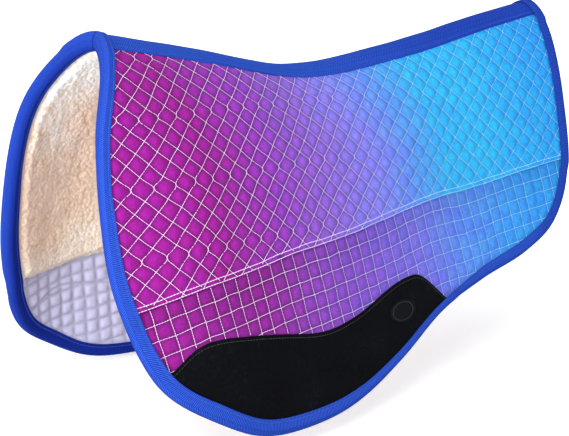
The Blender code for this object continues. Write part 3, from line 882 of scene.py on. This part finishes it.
def quilt_cotton(name, stops):
    """Dyed cotton: stops give the x in mm and the screen colour there."""
    g = Nodes(name, roughness=0.8, sheen=0.03, specular=0.15)
    u, v = g.pattern()
    cloud = g.noise(9.0)
    shifted = g.math("ADD", u, g.math("MULTIPLY", g.math("SUBTRACT", cloud, 0.5), 0.05))
    ahead = g.add("MapRange", {"Value": g.math("ABSOLUTE", v), "From Min": 0.03, "From Max": 0.15,
                               "To Min": (DYE_AHEAD - DYE_FROM) / 1000,
                               "To Max": -DYE_FROM / 1000}).outputs[0]
    factor = g.math("DIVIDE", g.math("ADD", shifted, ahead), DYE_LENGTH / 1000)
    dyes = [((x - DYE_FROM) / DYE_LENGTH, lin(*rgb)) for x, *rgb in stops]
    colour = g.ramp(factor, dyes, smoothly=False)
    slub = g.math("MULTIPLY_ADD", g.noise(420.0), 0.7)
    # Painted shade from the attribute darkens the colour, most in the creases, and under the seam on the
    # lower panel
    value = g.math("MULTIPLY", g.math("ADD", slub, 0.16), g.math("SUBTRACT", 1.0, g.painted_shade()))
    hue = g.math("MULTIPLY_ADD", g.noise(55.0), 0.05, 0.475)
    g.colour(g.add("HueSaturation", {"Color": colour, "Hue": hue, "Value": value}).outputs[0])
    yarns = g.math("MULTIPLY", weave(g, u, v, YARN_PITCH), 0.5)
    g.bump(g.math("ADD", yarns, g.math("MULTIPLY", g.noise(350.0, 4.0), 0.9)), 0.0009, 0.6)
    return g.made


def thread(name, *stops, glow=0.0):
    """Twisted yarn: stops give the x in mm and the screen colour there."""
    g = Nodes(name, roughness=0.6, sheen=0.2)
    along, across, _ = g.add("SeparateXYZ", {0: g.place()}).outputs
    twist = waves(g, g.math("ADD", along, across), 0.0007)
    length = REAR_X - FRONT_X
    place = g.math("DIVIDE", g.math("ADD", along, (ORIGIN_X - FRONT_X) / 1000), length / 1000)
    colour = g.ramp(place, [((x - FRONT_X) / length, lin(*rgb)) for x, *rgb in stops], smoothly=False)
    dark = g.mix(1.0, colour, (0.7, 0.7, 0.7), "MULTIPLY")
    g.colour(g.mix(g.math("MULTIPLY", twist, 0.3), colour, dark))
    g.bump(twist, 0.0001, 0.4)
    # Glow: painted light, the thread gives out light of its own colour
    g.tree.links.new(colour, g.shader.inputs["Emission Color"])
    g.shader.inputs["Emission Strength"].default_value = glow
    return g.made


def herringbone(name, light, dark, rib, band_width):
    """Twill tape whose ribs turn back and forth across it in bands."""
    g = Nodes(name, roughness=0.8, specular=0.05)
    u, v = g.pattern()
    folded = g.math("PINGPONG", v, band_width)
    ribs = waves(g, g.math("ADD", u, folded), rib)
    middle = g.math("SUBTRACT", g.math("DIVIDE", folded, band_width), 0.5)
    edge = g.math("MULTIPLY", g.math("ABSOLUTE", middle), 2.0)
    valley = g.math("POWER", edge, 8.0)
    height = g.math("MULTIPLY", ribs, g.math("SUBTRACT", 1.0, g.math("MULTIPLY", valley, 0.6)))
    fuzz = g.noise(700.0)
    shade = g.math("ADD", g.math("MULTIPLY", height, 0.75), g.math("MULTIPLY", fuzz, 0.3), clamp=True)
    # Painted shade from the attribute mixes the twill towards its dark colour
    g.colour(g.mix(g.painted_shade(), g.mix(shade, dark, light), dark))
    g.bump(height, 0.0007, 0.9)
    return g.made


def suede(name):
    g = Nodes(name, roughness=0.95, sheen=0.02, specular=0.04)
    nap = g.noise(260.0, 6.0, rough=0.65)
    brushed = g.noise(18.0, 4.0)
    shade = g.math("ADD", g.math("MULTIPLY", nap, 0.6), g.math("MULTIPLY", brushed, 0.55))
    g.colour(g.ramp(shade, [(0.35, lin(5, 5, 8)), (0.62, lin(13, 14, 18)), (0.85, lin(27, 28, 34))]))
    g.bump(g.math("ADD", g.math("MULTIPLY", nap, 0.7), g.noise(1100.0, 2.0)), 0.0004, 0.6)
    return g.made


def fleece_pile(name):
    g = Nodes(name, roughness=0.95, sheen=0.5, specular=0.1)
    cells = g.add("TexVoronoi", {"Vector": g.place(), "Scale": 200.0, "Randomness": 1.0})
    curl = g.math("SUBTRACT", 1.0, cells.outputs["Distance"])
    fine = g.noise(420.0, 4.0, rough=0.7)
    lump = g.noise(70.0)
    curly = g.math("MULTIPLY", g.math("ADD", curl, fine), 0.33)
    shade = g.math("ADD", curly, g.math("MULTIPLY", lump, 0.34))
    # Palest near the spine and the front edge, darker and more golden in the middle and further in,
    # paler again low down: partly the pile's own tone, partly painted shade
    u, v = g.pattern()
    down = g.math("ADD", v, g.math("MULTIPLY", g.math("SUBTRACT", g.noise(12.0), 0.5), 0.16))
    down = g.math("ADD", down, g.math("MULTIPLY", g.math("MAXIMUM", u, 0.0), 1.3))
    tone_and_shade = g.ramp(g.math("DIVIDE", g.math("ABSOLUTE", down), 0.4),
                  [(0.2, lin(255, 255, 255)), (0.48, lin(244, 218, 200)), (0.7, lin(248, 220, 198)),
                   (0.93, lin(255, 240, 224))])
    # The curls are darker in the gaps between them, which is painted shade, and the lumps of the pile
    # vary in tone
    tuft = g.ramp(shade, [(0.33, (0.85, 0.71, 0.57)), (0.46, (0.98, 0.95, 0.9)), (0.56, (1, 1, 1))])
    g.colour(g.mix(1.0, tone_and_shade, tuft, "MULTIPLY"))
    g.bump(g.math("ADD", curl, g.math("MULTIPLY", fine, 0.7)), 0.0022, 0.8)
    return g.made


def plain_cloth(name, colour):
    g = Nodes(name, sheen=0.15)
    u, v = g.pattern()
    # Random mottle of the cotton, and painted shade from the attribute in the creases of its quilting
    mottle_and_shade = g.math("ADD", g.math("MULTIPLY", g.noise(60.0, 4.0), 0.1), g.painted_shade())
    g.colour(g.mix(mottle_and_shade, colour, tuple(c * 0.5 for c in colour)))
    g.bump(g.math("ADD", weave(g, u, v, YARN_PITCH), g.noise(300.0)), 0.0005, 0.45)
    return g.made


def felt(name, colour):
    g = Nodes(name, roughness=0.95, sheen=0.2)
    fibre = g.noise(420.0, 6.0, rough=0.7)
    g.colour(g.mix(fibre, tuple(c * 0.75 for c in colour), colour))
    g.bump(fibre, 0.0008, 0.6)
    return g.made


def moulded(name, colour):
    g = Nodes(name, roughness=0.7, specular=0.06)
    grain = g.noise(900.0, 2.0)
    g.colour(g.mix(grain, tuple(c * 0.8 for c in colour), colour))
    g.bump(grain, 0.0002, 0.25)
    return g.made


def studio_white(name):
    """Pale floor that the camera, gloss and glass see as white but for the object's shadow."""
    g = Nodes(name, roughness=0.9, specular=0.1)
    g.colour((0.86, 0.86, 0.86))
    away = g.add("VectorMath", {0: g.place()}, operation="LENGTH").outputs["Value"]
    glow = g.add("MapRange", {"Value": away, "From Min": 0.5, "From Max": 1.1, "To Min": 0.5,
                              "To Max": 1.0}).outputs[0]
    path = g.add("LightPath").outputs
    seen = g.math("MAXIMUM", path["Is Camera Ray"],
                  g.math("MAXIMUM", path["Is Glossy Ray"], path["Is Transmission Ray"]))
    g.shader.inputs["Emission Color"].default_value = (1, 1, 1, 1)
    g.tree.links.new(g.math("MULTIPLY", glow, seen), g.shader.inputs["Emission Strength"])
    return g.made


UPPER_CLOTH = quilt_cotton("upper_cloth", (
    (-60, 160, 26, 152), (60, 170, 32, 162), (150, 161, 68, 206), (230, 154, 110, 229),
    (310, 142, 140, 255), (370, 100, 158, 255), (440, 54, 190, 255), (520, 50, 192, 255),
    (690, 44, 166, 255),
))
LOWER_CLOTH = quilt_cotton("lower_cloth", (
    (-60, 156, 26, 146), (110, 160, 42, 166), (200, 153, 77, 205), (290, 137, 99, 227),
    (370, 127, 125, 243), (450, 100, 149, 255), (540, 66, 166, 255), (690, 44, 168, 255),
))
# White thread: its tint along the pad, pinker over the magenta and bluer over the cyan, is painted light
# bounced from the cloth, and its glow is painted light
WHITE_THREAD = thread("white_thread", (120, 252, 222, 255), (300, 216, 208, 255), (460, 176, 226, 255),
                      glow=0.36)
BLUE_THREAD = thread("blue_thread", (0, 52, 92, 214), (600, 52, 92, 214))
BLACK_THREAD = thread("black_thread", (0, 30, 30, 36), (600, 30, 30, 36))
BINDING_TWILL = herringbone("binding_twill", lin(66, 116, 250), lin(10, 28, 132), 0.0022, 0.005)
TAPE_TWILL = herringbone("tape_twill", lin(66, 124, 255), lin(12, 34, 152), 0.0028, 0.007)
SUEDE = suede("black_suede")
FLEECE = fleece_pile("cream_fleece")
LINING = plain_cloth("lining_cotton", lin(216, 214, 245))
FELT = felt("core_felt", lin(150, 150, 150))
WADDING = felt("wadding_loft", lin(235, 235, 238))
MOULDED = moulded("badge_rubber", lin(14, 15, 19))
RING = moulded("badge_ring", lin(62, 64, 70))


# Pieces
def dress(piece, slot, *nodes):
    """Gives a piece its body and hides the solids that it replaces; slot is not used."""
    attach(piece, "root")
    if nodes:
        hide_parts(*nodes)


def from_spine(x):
    return HALF_GAP + 0 * x


UPPER_GRID = band(from_spine, seam_at, 2.0)
FLEECE_GRID = band(from_spine, ragged_hem, 2.0)
LOWER_GRID = skirt(lambda x: seam_at(x) - 12, (-57.0, 668.0), 2.0)
LINING_GRID = skirt(lambda x: hem_at(x) - 8, (-56.0, 660.0), 1.8)
LEATHER_GRID = skirt(leather_at, (-31.0, 408.0), 2.4)

for side, hand in SIDES:
    upper = plate("upper_quilt_" + hand, UPPER_GRID, diamond_relief, -SHELL, side, UPPER_CLOTH,
                  diamond_shade)
    dress(upper, "upper_quilt", "upper_panel_" + hand)
    lower = plate("lower_quilt_" + hand, LOWER_GRID, square_face, LOWER_TOP - SHELL, side,
                  LOWER_CLOTH, square_shade)
    dress(lower, "lower_quilt", "lower_panel_" + hand)
    pile = plate("fleece_pile_" + hand, FLEECE_GRID, fleece_height, FLEECE_TOP - PILE_BACK, side, FLEECE)
    dress(pile, "fleece", "fleece_" + hand)
    inner = plate("lining_quilt_" + hand, LINING_GRID, lining_face, LINING_TOP, side, LINING,
                  lining_shade)
    dress(inner, "lining", "lining_" + hand)
    hide = plate("suede_" + hand, LEATHER_GRID, leather_height, LEATHER_BASE, side, SUEDE)
    dress(hide, "leather", "wear_leather_" + hand)
    sewn = threads("upper_thread_" + hand, diamond_lines(), diamond_relief, side, WHITE_THREAD)
    dress(sewn, "upper_quilt")
    sewn = threads("lower_thread_" + hand, square_lines(), square_face, side, WHITE_THREAD,
                   length=2.8, gap=0.25)
    dress(sewn, "lower_quilt")
    x = np.arange(-66, 672, 1.0)
    rows = []
    for q in SEAM_ROWS:
        row = seam_at(x) - q + 0.25 * wander(x, 0 * x, 83 + int(q), 40)
        rows += up_to_binding(np.stack((x, row), 1))
    sewn = threads("seam_thread_" + hand, rows, diamond_relief, side, WHITE_THREAD,
                   length=3.2, gap=0.5, radius=0.48)
    dress(sewn, "upper_quilt")
    x = np.arange(-40, 420, 1.0)
    rows = up_to_binding(np.stack((x, leather_at(x) + LEATHER_ROW), 1))
    sewn = threads("suede_thread_" + hand, rows, leather_height, side, BLACK_THREAD,
                   length=3.2, gap=0.9, radius=0.4)
    dress(sewn, "leather")


def tape():
    """Grid of (x, s) of the webbing, from edge to edge and between the ends of the pad."""
    u = np.linspace(0, 1, 281)[:, None]
    v = np.linspace(-1, 1, 49)[None, :]
    s = v * (TAPE_HALF_FRONT + TAPE_HALF_REAR) / 2 + 0 * u
    curve = inset(UNDER_BINDING)
    near = len(curve) // 4
    for _ in range(6):
        start = np.interp(np.abs(s), curve[:near, 1], curve[:near, 0])
        end = np.interp(np.abs(s), curve[:-near:-1, 1], curve[:-near:-1, 0])
        x = start + (end - start) * u
        s = v * tape_half(x)
    return x, s


webbing = plate("spine_webbing", tape(), tape_height, TAPE_BASE - TAPE_BACK, NEAR, TAPE_TWILL,
                tape_shade)
dress(webbing, "tape", "spine_tape")
x = np.arange(-20, 690, 1.0)
rows = []
for sign in (-1, 1):
    rows += up_to_binding(np.stack((x, sign * (tape_half(x) - TAPE_ROW)), 1))
sewn = threads("webbing_thread", rows, tape_height, NEAR, BLUE_THREAD, length=3.2, gap=0.9, radius=0.4)
dress(sewn, "tape")

# Leg of the binding from its edge inwards: share of the face's width, and how far its outside
# stands over the plain thickness there; the dip is the row of stitches
LEG = ((1.02, -1.0), (1.0, -0.3), (0.94, 0.0), (0.84, -0.35), (0.79, -0.45), (0.72, -0.2))


def binding():
    """The twill tape folded over the edge, as one closed tube whose inside is the fold."""
    last = len(EDGE) - 1
    at = np.linspace(0, last, round(1.15 * last))
    index = np.arange(last + 1)

    def along(curve):
        return np.stack([np.interp(at, index, curve[:, k]) for k in (0, 1)], 1)
    rim = along(EDGE)
    outer, inner = binding_outer(*rim.T), binding_inner(*rim.T)
    outside, inside = outer + BINDING_THICK, inner - BINDING_THICK
    face = face_width(*EDGE.T)
    profile = [(face * share, outside + lift) for share, lift in (*LEG, (0.56, 0.35))]
    profile += [(5.2, outside + 0.55), (4.2, outside + 0.45)]
    nose = len(profile)
    half = (outside - inside) / 2 - 0.2
    for k in range(9):
        turn = math.pi / 2 * (1 - k / 4)
        lift = half * math.sin(turn) * (0.94 + 0.06 * abs(math.sin(turn)))
        profile.append((4.0 - 4.6 * math.cos(turn), (outer + inner) / 2 + lift))
    nose_end = len(profile) - 1
    profile += [(4.2, inside - 0.2), (5.2, inside - 0.4)]
    profile += [(face * share, inside - lift) for share, lift in ((0.56, 0.25), *LEG[::-1])]
    leg_end = len(profile) - 1
    profile += [(face * 0.98, inner), (2.2, inner), (2.2, outer), (face * 0.98, outer)]
    x, s = np.stack([along(inset(d)) for d, _ in profile], 1).transpose(2, 0, 1)
    h = np.stack([h for _, h in profile], 1)

    # Both sides share the first and last rows, so the far side's rows come back between them
    points = np.vstack((drape(x, s, h, NEAR), drape(x, s, h, FAR)[-2:0:-1]))
    run = np.append(0, np.cumsum(np.linalg.norm(np.diff(points[:, nose], axis=0), axis=1))) * 1000
    across = np.append(0, np.cumsum(np.hypot(np.diff(x[len(x) // 2]), np.diff(h[len(x) // 2]))))
    pattern = np.stack(np.broadcast_arrays(run[:, None], across[None, :]), -1)
    rings = numbered(points.shape[:2])
    # Painted shade: the binding is darker over its fold and on its inner leg, more so lower down the
    # side, and towards the rear end
    ends = (nose, nose_end, leg_end, len(profile) - 1)
    turned = np.interp(np.arange(len(profile)), ends, (0, 1, 1, 0))
    inner_shade = 0.7 + 0.12 * smooth((s - 100) / 240)
    rear = 0.28 * smooth((x - 560) / 80)
    shade = np.maximum(turned * inner_shade, rear)
    made = add("edge_twill", points.reshape(-1, 3), around(rings, np.roll(rings, -1, 0)), BINDING_TWILL,
               pattern.reshape(-1, 2), np.vstack((shade, shade[-2:0:-1])))
    return facing_out(made)


edge = binding()
dress(edge, "binding", "edge_binding")

path = inset(BINDING_ROW * face_width(*EDGE.T))
for side, hand in SIDES:
    for name, height in (("binding_thread_", lambda x, s: binding_outer(x, s) + BINDING_THICK - 0.5),
                         ("binding_thread_in_", lambda x, s: binding_inner(x, s) - BINDING_THICK + 0.1)):
        sewn = threads(name + hand, [path], height, side, BLUE_THREAD, length=3.0, gap=0.9, radius=0.42)
        dress(sewn, "binding")


def ovals(profile, turns=96):
    """Rings of the badge, each a share of its size at a height over the leather."""
    a = np.linspace(0, 2 * math.pi, turns + 1)[:-1]
    points, places = [], []
    for share, h in profile:
        x = BADGE_AT[0] + BADGE_SIZE[0] / 2 * share * np.cos(a)
        s = BADGE_AT[1] + BADGE_SIZE[1] / 2 * share * np.sin(a)
        points.append(drape(x, s, LEATHER_FACE + h, NEAR))
        places.append(np.stack((x, s), 1))
    return np.array(points), np.array(places)


def badge():
    """Bare oval disc with a raised rim."""
    points, places = ovals(((1.0, 0.3), (1.0, 1.1), (0.985, 1.4), (0.95, 1.55), (0.91, 1.5),
                            (0.895, 1.25), (0.875, 1.1), (0.4, 1.12)))
    at = numbered(points.shape[:2])
    faces = around(at[:-1], at[1:]) + [at[0, ::-1].tolist(), at[-1].tolist()]
    return facing_out(add("badge_disc", points.reshape(-1, 3), faces, MOULDED, places.reshape(-1, 2)))


def badge_ring():
    """Thin plain ring that stands on the disc."""
    points = ovals(((0.80, 0.5), (0.80, 1.3), (0.76, 1.3), (0.76, 0.5)))[0].transpose(1, 0, 2)
    at = numbered(points.shape[:2])
    return facing_out(add("badge_ring", points.reshape(-1, 3), around(at, np.roll(at, -1, 0)), RING))


dress(badge(), "badge", "badge")
dress(badge_ring(), "badge")

for name, finish in (("core_", FELT), ("wadding_", WADDING)):
    for _, hand in SIDES:
        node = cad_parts[name + hand]
        node.data.materials.clear()
        node.data.materials.append(finish)

# Camera as fitted to the photo: focal length and picture width in pixels, how far it is turned
# around, up and over in degrees, and where it stands, x and y in metres and z in mm over the
# spine line's zero
FOCAL_PIXELS = 1319.4
PHOTO_WIDTH = 569
CAMERA_TURNS = (-38.02, 14.26, 0.26)
CAMERA_XY = (-1.0301, -1.2596)
CAMERA_Z = 162.8

# Lamps: place, aim, size and power in watts
LAMPS = {
    "key": ((-2.0, -1.6, 1.9), (0, 0, -0.1), 1.3, 43),
    "fill": ((2.0, -2.2, 1.0), (0, 0, -0.1), 2.2, 9),
    "back": ((0.4, 2.2, 1.9), (0, 0, -0.1), 1.8, 10),
    "front": ((-2.2, -0.6, 0.1), (0.1, 0.05, -0.15), 1.0, 30),
}

# Light of the world, and the floor: its half-width and how far it lies below the pad, in metres
SKY = (0.93, 0.95, 1.0, 1)
SKY_STRENGTH = 0.47
FLOOR_HALF = 6
FLOOR_BELOW = 0.004


def camera():
    data = bpy.data.cameras.new("camera")
    data.sensor_width = 36
    data.lens = FOCAL_PIXELS / PHOTO_WIDTH * data.sensor_width
    made = placed("camera", data)
    a, e, roll = (math.radians(turn) for turn in CAMERA_TURNS)
    back = (math.sin(a) * math.cos(e), -math.cos(a) * math.cos(e), math.sin(e))
    right = (math.cos(a), math.sin(a), 0)
    up = np.cross(back, right)
    place = (*CAMERA_XY, (CAMERA_Z - ORIGIN_Z) / 1000)
    rows = [(right[k], up[k], back[k], place[k]) for k in range(3)]
    made.matrix_world = Matrix((*rows, (0, 0, 0, 1))) @ Matrix.Rotation(roll, 4, "Z")
    bpy.context.scene.camera = made


def lamp(name, where, to, size, power):
    data = bpy.data.lights.new(name, "AREA")
    data.shape = "DISK"
    data.size = size
    data.energy = power
    made = placed(name, data)
    made.location = where
    made.rotation_euler = (Vector(to) - Vector(where)).to_track_quat("-Z", "Y").to_euler()


camera()
for name, values in LAMPS.items():
    lamp(name, *values)

# The camera, gloss and glass see a white world, everything else the sky
world = bpy.context.scene.world or bpy.data.worlds.new("world")
bpy.context.scene.world = world
world.use_nodes = True
tree = world.node_tree
shown = tree.nodes["Background"]
shown.inputs["Color"].default_value = (1, 1, 1, 1)
shown.inputs["Strength"].default_value = 1.0
lit = tree.nodes.new("ShaderNodeBackground")
lit.inputs["Color"].default_value = SKY
lit.inputs["Strength"].default_value = SKY_STRENGTH
path = tree.nodes.new("ShaderNodeLightPath")
seen = path.outputs["Is Camera Ray"]
for kind in ("Is Glossy Ray", "Is Transmission Ray"):
    either = tree.nodes.new("ShaderNodeMath")
    either.operation = "MAXIMUM"
    tree.links.new(seen, either.inputs[0])
    tree.links.new(path.outputs[kind], either.inputs[1])
    seen = either.outputs[0]
blend = tree.nodes.new("ShaderNodeMixShader")
tree.links.new(seen, blend.inputs[0])
tree.links.new(lit.outputs[0], blend.inputs[1])
tree.links.new(shown.outputs[0], blend.inputs[2])
tree.links.new(blend.outputs[0], tree.nodes["World Output"].inputs[0])

floor_z = min(corner[2] for corner in CAD_BOX) - FLOOR_BELOW
corners = [(x * FLOOR_HALF, y * FLOOR_HALF, floor_z) for x, y in ((-1, -1), (1, -1), (1, 1), (-1, 1))]
floor = add("floor", np.array(corners), [(0, 1, 2, 3)], studio_white("floor_white"))

bpy.context.scene.view_settings.view_transform = "Standard"
